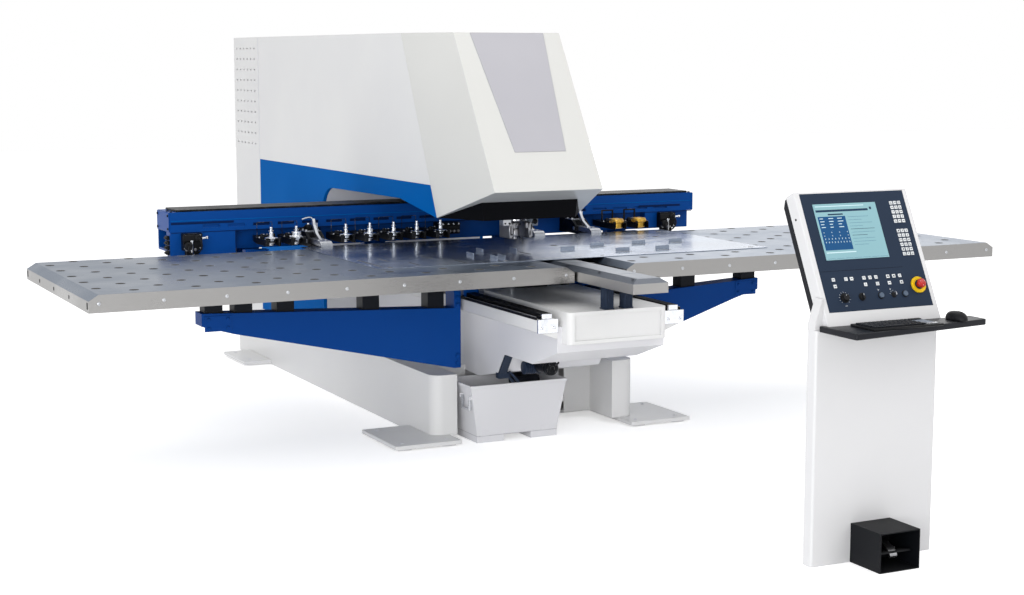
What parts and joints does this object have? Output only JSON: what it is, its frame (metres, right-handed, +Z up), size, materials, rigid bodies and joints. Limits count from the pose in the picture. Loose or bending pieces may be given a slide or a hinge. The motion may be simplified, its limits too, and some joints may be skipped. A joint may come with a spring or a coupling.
{
  "type": "cnc turret punch press",
  "caption": "CNC punch press with a C-frame, travelling sheet table, clamp rail with tool stations, scrap bin and a separate operator console.",
  "frame": {"origin": "on the floor under the middle of the whole machine and its console", "axes": "+X along the table to the right, +Y to the rear, +Z up"},
  "size_m": [5.034, 6.2173, 2.101],
  "materials": {
    "white_paint": "semi-gloss",
    "blue_paint": "semi-gloss",
    "grey_paint": "semi-gloss",
    "dark_paint": "satin",
    "black_steel": "satin",
    "bright_steel": "satin",
    "table_steel": "brushed",
    "chrome": "polished",
    "brass": "satin",
    "clamp_steel": "satin",
    "black_plastic": "matte",
    "screen_glass": "glossy",
    "key_plastic": "matte",
    "red_plastic": "glossy"
  },
  "bodies": {
    "root": {"base_cover": "white_paint", "blue_panel_left": "blue_paint", "blue_panel_right": "blue_paint", "c_frame": "white_paint", "console_housing": "white_paint", "console_pillar": "white_paint", "console_shelf": "black_plastic", "die_holder": "bright_steel", "foot_plates": "white_paint", "guide_bars": "white_paint", "guide_end_caps": "chrome", "head_box": "black_steel", "head_cover": "white_paint", "head_inlay": "grey_paint", "keyboard": "black_plastic", "middle_table": "table_steel", "middle_table_posts": "dark_paint", "mouse": "black_plastic", "nose_cover": "white_paint", "operator_plate": "dark_paint", "panel_keys": "key_plastic", "pedal_box": "black_steel", "rear_cabinet": "white_paint", "scrap_bin": "white_paint", "scrap_chute": "black_steel", "screen": "screen_glass", "side_panel_left": "white_paint", "side_panel_right": "white_paint", "throat_liner": "dark_paint", "top_cover": "white_paint", "y_rails": "black_steel"},
    "y_carriage": {"table_left": "table_steel", "table_right": "table_steel", "cantilever_left": "blue_paint", "cantilever_right": "blue_paint", "carriage_frame": "dark_paint", "x_rails": "bright_steel", "table_supports": "dark_paint"},
    "x_carriage": {"cross_rail": "blue_paint", "rail_top_strip": "black_plastic", "valve_units": "black_plastic", "tool_cassettes": "black_steel", "punch_tools": "bright_steel", "rotation_tools": "brass", "clamp_bodies": "clamp_steel", "workpiece_sheet": "table_steel"},
    "clamp_jaw_1": {"clamp_jaw_1": "clamp_steel"},
    "clamp_jaw_2": {"clamp_jaw_2": "clamp_steel"},
    "clamp_jaw_3": {"clamp_jaw_3": "clamp_steel"},
    "ram": {"ram": "bright_steel"},
    "punch_tool": {"punch_tool": "bright_steel"},
    "die": {"die": "bright_steel"},
    "bin_handle": {"bin_handle": "bright_steel"},
    "foot_pedal": {"foot_pedal": "bright_steel"},
    "stop_button": {"stop_button": "red_plastic"},
    "override_dial": {"override_dial": "black_plastic"},
    "mode_knob": {"mode_knob": "black_plastic"},
    "key_switch": {"key_switch": "bright_steel"},
    "start_button": {"start_button": "key_plastic"},
    "halt_button": {"halt_button": "red_plastic"}
  },
  "joints": [
    {"name": "y_travel", "type": "slide", "parent": "root", "child": "y_carriage", "axis": [0, 1, 0], "range_m": [-0.64, 0.4]},
    {"name": "x_travel", "type": "slide", "parent": "y_carriage", "child": "x_carriage", "axis": [1, 0, 0], "range_m": [-1.2675, 1.2675]},
    {"name": "ram_stroke", "type": "slide", "parent": "root", "child": "ram", "axis": [0, 0, 1], "range_m": [-0.037, 0]},
    {"name": "tool_rotation", "type": "hinge", "parent": "ram", "child": "punch_tool", "pos_m": [-0.036, 0.1035, 1.003], "axis": [0, 0, 1], "continuous": true},
    {"name": "die_rotation", "type": "hinge", "parent": "root", "child": "die", "pos_m": [-0.036, 0.1035, 0.946], "axis": [0, 0, 1], "continuous": true},
    {"name": "jaw_1", "type": "hinge", "parent": "x_carriage", "child": "clamp_jaw_1", "pos_m": [-0.906, 0.8285, 0.9685], "axis": [-1, 0, 0], "range_deg": [0, 4]},
    {"name": "jaw_2", "type": "hinge", "parent": "x_carriage", "child": "clamp_jaw_2", "pos_m": [0.394, 0.8285, 0.9685], "axis": [-1, 0, 0], "range_deg": [0, 4]},
    {"name": "jaw_3", "type": "hinge", "parent": "x_carriage", "child": "clamp_jaw_3", "pos_m": [0.764, 0.8285, 0.9685], "axis": [-1, 0, 0], "range_deg": [0, 4]},
    {"name": "handle_swing", "type": "hinge", "parent": "root", "child": "bin_handle", "pos_m": [-0.47857, -0.2245, 0.238], "axis": [0, 1, 0], "range_deg": [0, 90]},
    {"name": "pedal_press", "type": "hinge", "parent": "root", "child": "foot_pedal", "pos_m": [0.053, -2.9105, 0.026], "axis": [1, 0, 0], "range_deg": [0, 12], "stiffness_Nm_per_rad": 6, "springref_deg": -17.19},
    {"name": "stop_press", "type": "slide", "parent": "root", "child": "stop_button", "axis": [0, 0.898, -0.4399], "range_m": [0, 0.005], "stiffness_N_per_m": 600, "springref_m": -0.002},
    {"name": "start_press", "type": "slide", "parent": "root", "child": "start_button", "axis": [0, 0.898, -0.4399], "range_m": [0, 0.003], "stiffness_N_per_m": 400, "springref_m": -0.002},
    {"name": "halt_press", "type": "slide", "parent": "root", "child": "halt_button", "axis": [0, 0.898, -0.4399], "range_m": [0, 0.003], "stiffness_N_per_m": 400, "springref_m": -0.002},
    {"name": "dial_turn", "type": "hinge", "parent": "root", "child": "override_dial", "pos_m": [-0.081, -2.8523, 1.04639], "axis": [0, -0.898, 0.4399], "range_deg": [-135, 135]},
    {"name": "knob_turn", "type": "hinge", "parent": "root", "child": "mode_knob", "pos_m": [0.002, -2.8523, 1.04639], "axis": [0, -0.898, 0.4399], "range_deg": [-45, 45]},
    {"name": "key_turn", "type": "hinge", "parent": "root", "child": "key_switch", "pos_m": [0.156, -2.8523, 1.04639], "axis": [0, -0.898, 0.4399], "range_deg": [0, 90]}
  ],
  "couplings": [
    {"joint": "die_rotation", "follows": "tool_rotation", "ratio": 1},
    {"joint": "jaw_2", "follows": "jaw_1", "ratio": 1},
    {"joint": "jaw_3", "follows": "jaw_1", "ratio": 1}
  ]
}
